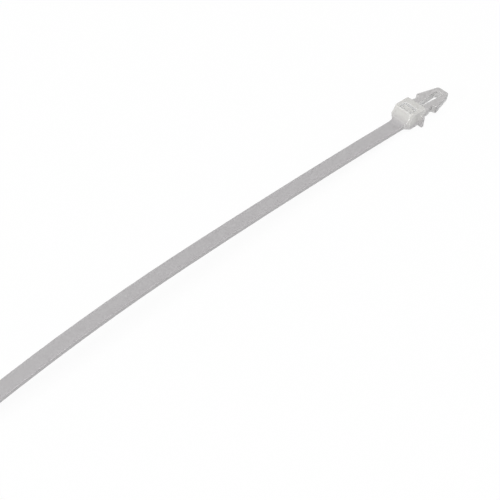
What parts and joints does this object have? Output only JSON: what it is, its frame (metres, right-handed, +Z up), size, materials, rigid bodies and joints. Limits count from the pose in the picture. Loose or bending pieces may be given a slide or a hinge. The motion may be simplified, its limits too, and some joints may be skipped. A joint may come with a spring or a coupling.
{
  "type": "push mount cable tie",
  "caption": "Toothed nylon strap with a locking head, two small wings and a split arrowhead that snaps into a panel hole.",
  "frame": {"origin": "middle of the footprint, on the surface that the arched tie stands on", "axes": "+X along the strap towards the arrowhead, +Z up, +Y across the strap"},
  "size_m": [0.2142, 0.0108, 0.0091],
  "materials": {
    "nylon": "satin moulded natural nylon"
  },
  "bodies": {
    "root": {"cable_tie": "nylon"}
  },
  "joints": []
}
